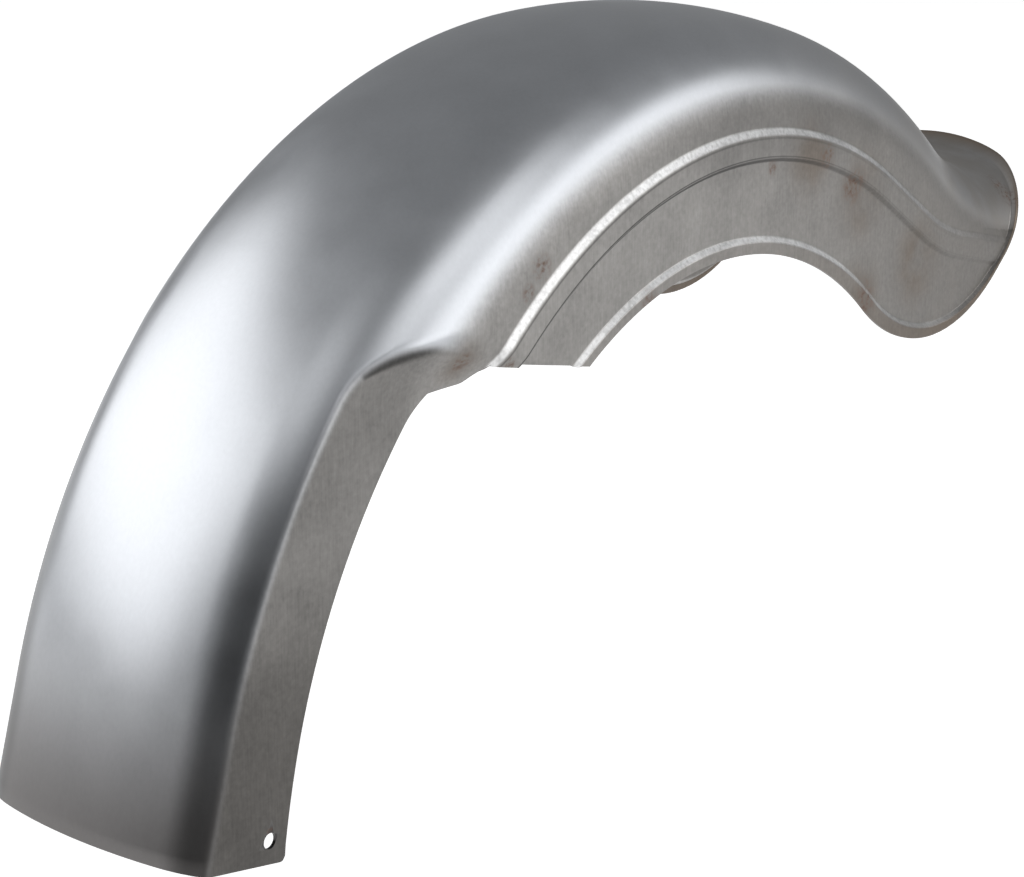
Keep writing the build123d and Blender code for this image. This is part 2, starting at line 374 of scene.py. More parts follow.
    def strip_offset(self, points):
        """Distance of side-view points above the strip's middle line."""
        radius = self.strip_radius - self.strip_width / 2
        bend = self.strip_bend + self.strip_width / 2
        centre = np.array(self.strip_centre)
        turn, sweep = self.strip_turn, self.strip_turn - self.strip_end_slope
        forward = np.array([math.cos(turn), -math.sin(turn)])
        upward = np.array([math.sin(turn), math.cos(turn)])
        leave = centre + radius * upward
        bend_start = leave + forward * self.strip_straight
        bend_centre = bend_start + upward * bend
        last_up = np.array([math.sin(self.strip_end_slope), math.cos(self.strip_end_slope)])
        from_centre = points - centre
        on_arc = np.arctan2(from_centre[..., 0], from_centre[..., 1]) < turn
        on_fall = (points - bend_start) @ forward < 0
        from_bend = points - bend_centre
        on_bend = np.arctan2(from_bend @ forward, -(from_bend @ upward)) < sweep
        arc = np.hypot(from_centre[..., 0], from_centre[..., 1]) - radius
        bent = bend - np.hypot(from_bend[..., 0], from_bend[..., 1])
        end = from_bend @ last_up + bend
        fall = (points - leave) @ upward
        return np.where(on_arc, arc, np.where(on_fall, fall, np.where(on_bend, bent, end)))

    def strip_share(self, points):
        """Share of the strip's full height that the pressing reaches across the strip, 0 to 1."""
        offset = self.strip_offset(points)
        upper = pressed_step((self.strip_width / 2 - offset) / self.step_run)
        lower = pressed_step((self.strip_width / 2 + self.fall_spill + offset) / self.fall_run)
        return np.minimum(upper, lower)

    def strip_height(self, points):
        """Full height of the strip along its run: it starts at the front cut and fades at the tail."""
        from_centre = points - np.array(self.strip_centre)
        ahead = -self.strip_start - np.arctan2(from_centre[..., 0], from_centre[..., 1])
        started = 1 - smooth(ahead * self.strip_radius / self.step_height)
        fading = smooth((points[..., 0] - 0.35 * self.crown_radius) / (0.4 * self.crown_radius))
        return self.step_height * started * (1 - (1 - self.strip_fade) * fading)

    def strip_rise(self, points):
        """Height of the pressed strip at side-view points."""
        return self.strip_height(points) * self.strip_share(points)


class EdgeLine:
    """Side-view edge: arc of the skirt, round corner that runs out of it, then the trailing line."""

    def __init__(self, centre, radius, corner, low, slope):
        self.centre, self.radius, self.corner = np.array(centre), radius, corner
        rise = low + corner - centre[1]
        run = math.sqrt((radius + corner) ** 2 - rise**2)
        self.corner_centre = self.centre + (run, rise)
        self.meet = math.atan2(run, rise)
        self.slope = slope
        self.along = np.array([math.cos(slope), math.sin(slope)])
        self.out = np.array([math.sin(slope), -math.cos(slope)])
        self.leave = self.corner_centre + corner * self.out
        self.level = self.leave @ self.out

    def on_skirt(self, angle):
        """Point of the skirt's arc; the angle runs from straight up towards the rear."""
        return self.centre + self.radius * np.stack([np.sin(angle), np.cos(angle)], -1)

    def on_corner(self, angle):
        """Point of the corner's arc; the angle runs from straight down towards the rear."""
        return self.corner_centre + self.corner * np.stack([np.sin(angle), -np.cos(angle)], -1)

    def front_angle(self, points):
        """Angle about the skirt's centre, from straight up towards the rear."""
        return np.arctan2(points[..., 0] - self.centre[0], points[..., 1] - self.centre[1])

    def corner_angle(self, points):
        """Angle about the corner's centre, from straight down towards the rear."""
        return np.arctan2(points[..., 0] - self.corner_centre[0], self.corner_centre[1] - points[..., 1])


def smooth(x):
    """Smooth rise from 0 to 1."""
    x = np.clip(x, 0, 1)
    return x * x * (3 - 2 * x)


def pressed_step(x, curl=0.12):
    """Rise from 0 to 1 with a round foot, a straight flank and a round brow."""
    x = np.clip(x, 0, 1)
    slope = 1 / (1 - 2 * curl)
    foot = slope * x * x / (4 * curl)
    brow = 1 - slope * (1 - x) ** 2 / (4 * curl)
    return np.where(x < 2 * curl, foot, np.where(x > 1 - 2 * curl, brow, slope * (x - curl)))


def spaced(*stops):
    """Values that run through (value, steps) stops, evenly between each pair."""
    values = [np.array([stops[0][0]])]
    for (first, _), (last, steps) in zip(stops, stops[1:]):
        values.append(np.linspace(first, last, steps + 1)[1:])
    return np.concatenate(values)


def rounded(before, corner, after, radius):
    """Points of the arc that rounds a corner between two straight runs."""
    back = (before - corner) / np.linalg.norm(before - corner)
    ahead = (after - corner) / np.linalg.norm(after - corner)
    half = math.acos(back @ ahead) / 2
    middle = (back + ahead) / np.linalg.norm(back + ahead)
    centre = corner + middle * radius / math.sin(half)
    start = corner + back * radius / math.tan(half) - centre
    stop = corner + ahead * radius / math.tan(half) - centre
    mixed = [start * (1 - t) + stop * t for t in np.linspace(0, 1, 9)]
    return [centre + point * radius / np.linalg.norm(point) for point in mixed]


def along_line(points):
    """Distance run along a line of points."""
    steps = np.hypot(*np.diff(points, axis=0).T)
    return np.concatenate([[0.0], np.cumsum(steps)])


def resampled(points, shares):
    """Points at shares of the way along a line of points."""
    run = along_line(points)
    return np.stack([np.interp(shares * run[-1], run, points[:, i]) for i in (0, 1)], -1)


def crown_grid(form):
    """Crown, shoulder and front wall of the near half, as side-view points and half widths.

    One row per station along the sheet, one column per ray of the section, crown first.
    The rows lean over to follow the flare and, at the tail, end along the foot of the lip.
    """
    degrees = math.radians(1)
    rays = spaced((0, 0), (48, 22), (53, 6), (60, 14), (64, 6), (86, 10), (90, 6)) * degrees
    front = form.front_cut_angle(form.crown_radius)
    start, _, high = form.gusset_corners()
    above_high = high * form.front_radius / np.linalg.norm(high)
    levels = np.array([start, above_high]) @ (math.sin(form.flare_slope), math.cos(form.flare_slope))
    gusset, skirt = form.flare_slope + np.arcsin(levels / form.crown_radius)
    lean_end = 49 * degrees
    stations = spaced(
        (front, 0), (37 * degrees, 28), (gusset, 22), (skirt, 16), (lean_end, 18), (form.tail_start, 62)
    )
    first_gusset = 28 + 22
    first_skirt = first_gusset + 16
    a0 = stations[:, None] + 0 * rays
    deeper = form.front_radius * (1 - np.cos(np.maximum(form.front_turn - a0, 0)))
    lower = np.arctan2(deeper, form.front_half) * smooth((rays - 64 * degrees) / (26 * degrees))
    phi = rays * (1 - 3.5 / 90 * smooth((a0 - 52 * degrees) / (15 * degrees))) + lower
    leaning = smooth((a0 - 14 * degrees) / (20 * degrees)) * smooth((84 * degrees - a0) / (35 * degrees))
    level = np.sin(np.minimum(a0, lean_end) - form.flare_slope)
    at_front = 1 - smooth((a0 - front) / (25 * degrees))
    corner = form.front_corner_round
    a = a0
    for _ in range(5):
        y, r = form.across(phi, a)
        tilt = np.arcsin(np.clip(level * form.crown_radius / r, -1, 1)) - np.arcsin(level)
        low = np.clip(corner - (r - r[:1, -1:]), 0, corner)
        rounding = (corner - np.sqrt(corner**2 - low**2)) / form.crown_radius
        cut = form.front_cut_angle(r) - front + rounding
        a = a0 + leaning * tilt + at_front * cut
    main = form.side_view(r, a)

    share = spaced((0, 0), (0.8, 22), (1, 12))[1:, None]
    phi = rays * (1 - 3.5 / 90 - 6.5 / 90 * smooth(share))
    y_tail, r_tail = form.across(phi, np.full(phi.shape, 100 * degrees))
    distance = form.tail_radius + form.crown_radius - r_tail
    bearing = -form.tail_start + share * (form.rim_bearing(distance, form.lip_edge) + form.tail_start)
    tail = form.tail_centre + distance[..., None] * np.stack([np.cos(bearing), np.sin(bearing)], -1)
    walled = np.concatenate([form.walled(y, r, a), form.walled(y_tail, r_tail, 100 * degrees)])
    return np.concatenate([main, tail]), np.concatenate([y, y_tail]), walled, first_gusset, first_skirt


def gusset_grid(form, top, side):
    """Gusset between the front wall's edge, its own lower edge and the front of the skirt."""
    start, low, high = form.gusset_corners()
    edge = np.array([start, *rounded(start, low, high, form.gusset_round), high])
    below = resampled(edge, np.linspace(0, 1, len(top)))
    below[0] = top[0]
    share = along_line(side) / along_line(side)[-1]
    return top[:, None] + (below - top)[:, None] * share[:, None]


def skirt_grid(form, top):
    """Skirt with its strip, as side-view points, one row for each point of the crown grid's edge.

    The first row follows the front cut and the last the trailing edge down to the corner's lowest
    point. Along each row the points are set at the strip's flanks. Gives also the place, along the
    first row, of the gusset's rear corner.
    """
    lip = form.lip_edge
    cut = form.front_cut(top[0], lip)
    foot = np.concatenate(
        [
            lip.on_skirt(np.linspace(lip.front_angle(cut[-1]), lip.meet, 300)),
            lip.on_corner(np.linspace(-lip.meet, 0, 100))[1:],
        ]
    )
    trail = np.concatenate([top[-1:], lip.on_corner(np.linspace(lip.slope, 0, 60))])
    place = along_line(top) / along_line(top)[-1]
    below = resampled(foot, place)
    share = np.linspace(0, 1, 501)
    straight = top[:, None] + (below - top)[:, None] * share[:, None]
    first = resampled(cut, share) - straight[0]
    last = resampled(trail, share) - straight[-1]
    near_first = (1 - smooth(place / 0.35))[:, None, None]
    near_last = smooth((place - 0.55) / 0.45)[:, None, None]
    lines = straight + near_first * first + near_last * last

    top_foot = form.strip_width / 2
    low_foot = -top_foot - form.fall_spill
    top_brow = top_foot - form.step_run
    low_brow = low_foot + form.fall_run
    margin = 0.0005
    under_brow = 0.0015
    over_brow = 0.001
    levels = spaced(
        (top_foot + margin, 0), (top_foot, 1), (top_brow, 14), (top_brow - under_brow, 5),
        (low_brow + over_brow, 3), (low_brow, 4), (low_foot, 8), (low_foot - margin, 1),
    )
    fall = np.maximum.accumulate(-form.strip_offset(lines), axis=1)
    points = []
    for line, drop in zip(lines, fall):
        at = np.interp(-levels, drop, share)
        at = np.concatenate([np.linspace(0, at[0], 7)[:-1], at, np.linspace(at[-1], 1, 10)[1:]])
        points.append(np.stack([np.interp(at, share, line[:, i]) for i in (0, 1)], -1))
    points = np.array(points)
    corner = np.argmin(np.linalg.norm(points[0] - cut[1], axis=-1))
    points[0, corner] = cut[1]
    return points, corner


def lip_grid(form, skirt, rim, rim_half):
    """Stepped lip from the front cut along skirt, corner and trailing edge and over the crown.

    Gives side-view points, one row along the edge per step across the lip, with the share of the
    step's height that each has, and how many columns lie on the wall.
    """
    inner, outer = form.lip_edge, form.skirt_edge
    low, up = skirt[:, -1], skirt[-1, -2::-1]
    on_wall = np.concatenate([low, up])
    cut_inner = inner.front_angle(low[0])
    cut_outer = outer.front_angle(form.skirt_corner())
    spread = (inner.front_angle(on_wall) - cut_inner) / (inner.meet - cut_inner)
    on_skirt = outer.on_skirt(cut_outer + spread * (outer.meet - cut_outer))
    turned = (inner.corner_angle(on_wall) + inner.meet) / (inner.slope + inner.meet)
    on_corner = outer.on_corner(-outer.meet + turned * (outer.slope + outer.meet))
    run = (on_wall - inner.leave) @ inner.along
    slide = (outer.leave - inner.leave) @ inner.along
    gap = outer.level - inner.level
    square = on_wall + gap * inner.out + slide * inner.along
    swept = form.around_tail(on_wall, outer)
    blend = np.clip(run / run[-1], 0, 1)[:, None]
    on_trail = square * (1 - blend) + swept * blend
    before_corner = (on_wall[:, 0] < inner.on_skirt(inner.meet)[0])[:, None]
    end = np.where(before_corner, on_skirt, np.where(run[:, None] > 0, on_trail, on_corner))

    reach = np.hypot(*(end - on_wall).T)
    step, width = form.lip_rows(reach)
    wall_points = on_wall + (end - on_wall) * (step / reach)[..., None]
    wall_share = pressed_step(step / width)

    over = rim[-2::-1]
    from_tail = over - form.tail_centre
    distance = np.hypot(*from_tail.T)
    start = np.arctan2(from_tail[:, 1], from_tail[:, 0])
    stop = form.rim_bearing(form.raised_distance(distance, rim_half[-2::-1]), outer)
    reach = distance * (stop - start)
    step, width = form.lip_rows(reach)
    bearing = start + (stop - start) * step / reach
    crown_points = form.tail_centre + distance[:, None] * np.stack([np.cos(bearing), np.sin(bearing)], -1)
    on_side = form.on_side(rim_half[-2::-1])
    crown_share = on_side * pressed_step(step / width) + (1 - on_side) * (step / reach) ** 2
    return (
        np.concatenate([wall_points, crown_points], 1),
        np.concatenate([wall_share, crown_share], 1),
        len(on_wall),
    )


def in_place(form, points, half_width, rise):
    """Row-frame points of the near half: side-view points on the surface, raised square to it."""
    height, bearing = form.tail_height(points)
    _, out, lift = form.section_field(half_width, height)
    from_axle = points / np.linalg.norm(points, axis=-1, keepdims=True)
    to_tail = form.tail_centre - points
    to_tail = to_tail / np.linalg.norm(to_tail, axis=-1, keepdims=True)
    upward = np.where((bearing > form.tail_start)[..., None], to_tail, from_axle)
    raised = points + upward * (lift * rise)[..., None]
    return np.stack([raised[..., 0], -(half_width + out * rise), raised[..., 1]], -1) + form.axle


def strip_marks(form, skirt):
    """Painted highlight on the strip's upper flank, and painted shade on its lower flank and in the thin
    dark lines beside it, from 0 to 1.
    """
    pressed = form.strip_share(skirt)
    height_share = form.strip_height(skirt) / form.step_height
    flank = smooth(5 * pressed * (1 - pressed)) * height_share
    offset = form.strip_offset(skirt)
    upper = offset > -form.fall_spill
    below_brow = form.strip_width / 2 - form.step_run - offset
    above_brow = form.strip_width / 2 + form.fall_spill - form.fall_run + offset
    shade_under_ledge = 0.6 * smooth(1 - np.abs(below_brow / form.ledge_line - 0.6))
    shade_over_fall = smooth(1 - np.abs(above_brow / form.fall_line - 0.4))
    lines = np.maximum(shade_under_ledge, shade_over_fall) * height_share
    return flank * upper, np.maximum(flank * ~upper, lines)


def lip_surface(form, lip, share, wall_columns, rim_half, rim_walled):
    """Half widths, heights and marks of the lip, on the wall and then over the crown."""
    half = np.concatenate(
        [form.wall(lip[:, :wall_columns]), np.tile(rim_half[-2::-1], (len(lip), 1))], 1
    )
    walled = np.ones(share.shape)
    walled[:, wall_columns:] = rim_walled[-2::-1]
    over = half[:, wall_columns:]
    rise = np.maximum(form.step_height * share, form.strip_rise(lip))
    rise[:, wall_columns:] = form.rim_height(over) * share[:, wall_columns:]
    # Painted highlight on the lip's flank, kept on the crown only where the rim is on the side wall
    ledge = smooth(5 * share * (1 - share))
    ledge[:, wall_columns:] *= form.on_side(over)
    return half, rise, walled, ledge


def sheet_grids(form):
    """The four grids of the near half, with their marks for the finish."""
    crown, crown_half, crown_walled, first_gusset, first_skirt = crown_grid(form)
    skirt, corner = skirt_grid(form, crown[first_skirt:, -1])
    gusset = gusset_grid(form, crown[first_gusset:first_skirt + 1, -1], skirt[0, :corner + 1])
    lip, share, wall_columns = lip_grid(form, skirt, crown[-1], crown_half[-1])
    lip_half, lip_rise, lip_walled, lip_highlight = lip_surface(
        form, lip, share, wall_columns, crown_half[-1], crown_walled[-1]
    )
    strip_highlight, strip_shade = strip_marks(form, skirt)
    return [
        add_grid(in_place(form, crown, crown_half, 0 * crown_half), walled=crown_walled),
        add_grid(in_place(form, gusset, form.wall(gusset), form.strip_rise(gusset)), walled=1.0),
        add_grid(
            in_place(form, skirt, form.wall(skirt), form.strip_rise(skirt)),
            walled=1.0, ledge=strip_highlight, hollow=strip_shade,
        ),
        add_grid(
            in_place(form, lip, lip_half, lip_rise), walled=lip_walled, near_edge=share, ledge=lip_highlight
        ),
    ]


def deselect():
    """Leaves nothing selected."""
    for chosen in bpy.context.selected_objects:
        chosen.select_set(False)


def pick(target):
    """Makes one object the only selected and the active one."""
    deselect()
    target.select_set(True)
    bpy.context.view_layer.objects.active = target


def add_grid(points, **marks):
    """Grid primitive with its corners moved to an array of points and given marks for the finish."""
    rows, columns = points.shape[:2]
    bpy.ops.mesh.primitive_grid_add(x_subdivisions=columns - 1, y_subdivisions=rows - 1, size=2)
    grid = bpy.context.object
    flat = np.empty(len(grid.data.vertices) * 3)
    grid.data.vertices.foreach_get("co", flat)
    lattice = flat.reshape(-1, 3)
    column = np.rint((lattice[:, 0] + 1) / 2 * (columns - 1)).astype(int)
    row = np.rint((lattice[:, 1] + 1) / 2 * (rows - 1)).astype(int)
    grid.data.vertices.foreach_set("co", points[row, column].ravel())
    for name in MARKS:
        mark = np.broadcast_to(marks.get(name, 0.0), points.shape[:2])
        layer = grid.data.attributes.new(name, "FLOAT", "POINT")
        layer.data.foreach_set("value", mark[row, column].astype(np.float32))
    grid.data.update()
    return grid


def apply_modifier(target, kind, **settings):
    """Adds a modifier to an object, sets it and applies it."""
    pick(target)
    modifier = target.modifiers.new(kind.title(), kind)
    for name, value in settings.items():
        setattr(modifier, name, value)
    bpy.ops.object.modifier_apply(modifier=modifier.name)


def merge_close(target, distance):
    """Joins corners that lie closer together than a distance."""
    pick(target)
    bpy.ops.object.mode_set(mode="EDIT")
    bpy.ops.mesh.select_all(action="SELECT")
    bpy.ops.mesh.remove_doubles(threshold=distance)
    bpy.ops.object.mode_set(mode="OBJECT")


def face_outwards(target):
    """Turns the sheet's faces so that the crown faces up."""
    pick(target)
    bpy.ops.object.mode_set(mode="EDIT")
    bpy.ops.mesh.select_all(action="SELECT")
    bpy.ops.mesh.normals_make_consistent(inside=False)
    bpy.ops.object.mode_set(mode="OBJECT")
    highest = max(target.data.polygons, key=lambda face: face.center.z)
    if highest.normal.z < 0:
        bpy.ops.object.mode_set(mode="EDIT")
        bpy.ops.mesh.select_all(action="SELECT")
        bpy.ops.mesh.flip_normals()
        bpy.ops.object.mode_set(mode="OBJECT")


class FENDER_OT_shell(bpy.types.Operator):
    """Model the pressed sheet of the fender"""

    bl_idname = "fender.shell"
    bl_label = "Fender Shell"
    bl_options = {"REGISTER", "UNDO"}

    def execute(self, context):
        form = FenderForm(context.scene.fender_sizes)
        deselect()
        grids = sheet_grids(form)
        for grid in grids:
            grid.select_set(True)
        context.view_layer.objects.active = grids[0]
        bpy.ops.object.join()
        shell = context.object
        shell.name = shell.data.name = "fender_sheet"
        bpy.ops.object.transform_apply(location=True, rotation=True, scale=True)
        merge_close(shell, MERGE_DISTANCE)
        apply_modifier(shell, "MIRROR", use_axis=(False, True, False), merge_threshold=MERGE_DISTANCE)
        face_outwards(shell)
        apply_modifier(
            shell, "SOLIDIFY", thickness=form.sheet, offset=-1.0, use_even_offset=True, use_rim=True
        )
        self.drill(form, shell)
        apply_modifier(
            shell, "BEVEL", width=form.edge_round, segments=2, limit_method="ANGLE",
            angle_limit=math.radians(50), harden_normals=False,
        )
        pick(shell)
        bpy.ops.object.shade_smooth_by_angle(angle=math.radians(35))
        if not shell.data.polygons:
            raise RuntimeError("The fender's sheet came out empty")
        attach(shell, "root")
        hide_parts("fender_shell")
        return {"FINISHED"}

    def drill(self, form, shell):
        """Cuts the bolt hole through both front walls."""
        deselect()
        bpy.ops.mesh.primitive_cylinder_add(
            vertices=48, radius=form.bolt_hole / 2, depth=2 * form.front_width, rotation=(math.pi / 2, 0, 0)
        )
        drill = bpy.context.object
        apply_modifier(shell, "BOOLEAN", object=drill, operation="DIFFERENCE", solver="EXACT")
        bpy.data.objects.remove(drill)


class FenderFinish(bpy.types.PropertyGroup):
    """Colours of the bare steel, with the painted highlight on its ledges and the shares of tone left by
    its painted shade.
    """

    crown: colour("Crown", "Rubbed steel of the crown", (0.485, 0.50, 0.525))
    wall: colour("Wall", "Brushed steel of the side walls", (0.26, 0.252, 0.242))
    tail: colour("Tail", "Stained steel towards the tail", (0.157, 0.148, 0.138))
    # Painted highlight: near-white colour laid on the steps of strip and lip
    ledge: colour("Ledge", "Rubbed steps of strip and lip", (0.88, 0.88, 0.88))
    edge: colour("Edge", "Stain along the edges", (0.12, 0.09, 0.065))
    rust: colour("Rust", "Flecks of rust", (0.10, 0.045, 0.022))
    crown_roughness: number("Crown roughness", "Roughness of the crown", 0.34)
    wall_roughness: number("Wall roughness", "Roughness of the side walls", 0.42)
    # Painted shade: shares of the tone left where the front end's foot, the front fold, the pocket under
    # the flare, the front wall and the rear shoulder are darkened
    crown_foot: number("Crown foot", "Share of the crown's tone left at the front end's foot", 0.56)
    wall_foot: number("Wall foot", "Share of the wall's tone left at the front end's foot", 0.58)
    fold_shade: number("Fold shade", "Share of the tone left along the front fold", 0.4)
    # The pocket's darkening is painted shade
    soot_shade: number("Soot shade", "Share of the tone left under soot", 0.3)
    front_shade: number("Front shade", "Share of the tone left on the front wall", 0.74)
    shoulder_shade: number("Shoulder shade", "Share of the tone left on the rear shoulder", 0.76)
    tail_gain: number("Tail gain", "Tone added on the crown towards the tail", 1.25)


class FenderStudio(bpy.types.PropertyGroup):
    """Floor and lamps."""

    floor: colour("Floor", "Colour of the floor", (0.9, 0.9, 0.9))
    lift: number("Floor lift", "Light added to the floor as it is seen", 0.52)
    surround: number("Surround", "Light of the surroundings", 0.28)
    shade: number("Shade", "Share of that light left on the dark side, behind the camera", 0.12)
    key: number("Key lamp", "Power of the key lamp in watts", 790.0)
    side: number("Side lamp", "Power of the side lamp in watts", 600.0)
    top: number("Top lamp", "Power of the top lamp in watts", 195.0)
    fill: number("Fill lamp", "Power of the fill lamp in watts", 80.0)


class Nodes:
    """Adds nodes to a tree and links values to their inputs."""

    def __init__(self, tree):
        self.tree = tree

    def add(self, kind, *values, **settings):
        """A new node with its settings and, in order, its first inputs."""
        node = self.tree.nodes.new(kind)
        for name, value in settings.items():
            setattr(node, name, value)
        for place, value in enumerate(values):
            self.put(node.inputs[place], value)
        return node

    def put(self, entry, value):
        """Links a socket to an input, or sets the input to a value."""
        if isinstance(value, bpy.types.NodeSocket):
            self.tree.links.new(value, entry)
        elif value is not None:
            entry.default_value = value

    def math(self, operation, *values):
        """Result of a sum on numbers."""
        return self.add("ShaderNodeMath", *values, operation=operation).outputs[0]

    def times(self, product, *others):
        """Product of numbers."""
        for other in others:
            product = self.math("MULTIPLY", product, other)
        return product

    def ramp(self, value, low, high, start=0.0, stop=1.0):
        """Smooth change from start to stop while a value goes from low to high."""
        values = (value, low, high, start, stop)
        return self.add("ShaderNodeMapRange", *values, interpolation_type="SMOOTHSTEP").outputs[0]

    def axes(self, vector):
        """The three numbers of a vector."""
        return self.add("ShaderNodeSeparateXYZ", vector).outputs

    def noise(self, where, scale, detail=3.0):
        """Cloudy pattern from 0 to 1, with its own scale along each axis."""
        spread = self.add("ShaderNodeVectorMath", where, scale, operation="MULTIPLY").outputs[0]
        return self.add("ShaderNodeTexNoise", spread, None, 1.0, detail).outputs[0]

    def mix(self, share, first, second):
        """Colour between two colours."""
        node = self.tree.nodes.new("ShaderNodeMix")
        node.data_type = "RGBA"
        for place, value in ((0, share), (6, first), (7, second)):
            self.put(node.inputs[place], value)
        return node.outputs[2]

    def spots(self, side, places):
        """1 in the middle of the nearest spot of the side view, 0 outside all of them."""
        found = 0.0
        for x, z, radius in places:
            apart = self.add("ShaderNodeVectorMath", side, (x, 0, z), operation="DISTANCE")
            spot = self.ramp(apart.outputs["Value"], radius, SPOT_CORE * radius)
            found = self.math("MAXIMUM", found, spot)
        return found

    def streak(self, side, start, end, radii):
        """1 on a straight line of the side view, 0 further from it than a radius that grows along it."""
        run = Vector(end) - Vector(start)
        from_start = self.add("ShaderNodeVectorMath", side, start, operation="SUBTRACT").outputs[0]
        along = self.add("ShaderNodeVectorMath", from_start, run, operation="DOT_PRODUCT")
        values = (along.outputs["Value"], run.length_squared)
        share = self.add("ShaderNodeMath", *values, operation="DIVIDE", use_clamp=True)
        nearest = self.add("ShaderNodeVectorMath", run, operation="SCALE")
        self.put(nearest.inputs["Scale"], share.outputs[0])
        apart = self.add("ShaderNodeVectorMath", from_start, nearest.outputs[0], operation="DISTANCE")
        radius = self.ramp(share.outputs[0], 0.0, 1.0, *radii)
        return self.ramp(apart.outputs["Value"], radius, self.times(radius, SPOT_CORE))


# Places on the left side, rearwards and up from the front bolt, each with its radius
RUST_SPOTS = (
    (0.000, 0.005, 0.0025),
    (0.110, 0.190, 0.007),
    (0.135, 0.185, 0.005),
    (0.150, 0.215, 0.006),
    (0.160, 0.225, 0.009),
    (0.240, 0.195, 0.009),
    (0.350, 0.245, 0.006),
    (0.400, 0.245, 0.010),
    (0.430, 0.225, 0.014),
    (0.445, 0.160, 0.016),
    (0.640, 0.190, 0.012),
)
STAIN_SPOTS = (
    (0.110, 0.190, 0.014),
    (0.385, 0.245, 0.030),
    (0.440, 0.220, 0.034),
    (0.440, 0.160, 0.030),
    (0.505, 0.170, 0.034),
)
# Painted shade: dark streak on the left wall in the pocket where the front fold runs out under the flare
POCKET_SHADE_START = (0.062, 0, 0.1925)
POCKET_SHADE_END = (0.092, 0, 0.2035)
POCKET_SHADE_RADII = (0.004, 0.0095)
# Share of a spot's radius that is fully covered
SPOT_CORE = 0.2

# Stretches rearwards of the front bolt over which a mark comes in: painted shade with a brown stain at the
# front end, painted shade on the front wall, in the strip's creases and on the shoulder, stains towards the
# tail and along the edge, and the ledges' painted highlight
FRONT_END = (0.20, 0.12)
FRONT_WALL_SHADE = (0.105, 0.08)
CREASE_SHADE_RUN = (0.20, 0.50)
SHOULDER_SHADE_RUN = (0.20, 0.32)
TAIL_RUN = (0.22, 0.62)
EDGE_RUN = (0.34, 0.60)
LEDGE_HIGHLIGHT_START = (0.16, 0.30)
LEDGE_HIGHLIGHT_END = (0.36, 0.62)
# Heights above the front bolt over which painted shade comes in at the front end's foot, where a brown
# stain comes in too, along the front fold and on the rear shoulder, and how much higher the foot's starts
# on a wall
FOOT_FALL = (0.10, -0.01)
FOOT_LIFT = 0.035
FOLD_SHADE_FALL = (0.22, 0.06)
SHOULDER_SHADE_RISE = (0.225, 0.27)
# Distances from the middle plane between which the fold's band of painted shade comes in
FOLD_SHADE_SIDE = (0.044, 0.064)
# Scales of the patterns along each axis, per metre; brush marks run upwards
BRUSH_SCALE = (900.0, 900.0, 70.0)
CLOUD_SCALE = (34.0, 34.0, 34.0)
GRAIN_SCALE = (420.0, 420.0, 420.0)


def new_material(name):
    """Node material, its tree and its main shader."""
    material = bpy.data.materials.new(name)
    material.use_nodes = True
    tree = material.node_tree
    return material, tree, tree.nodes["Principled BSDF"]


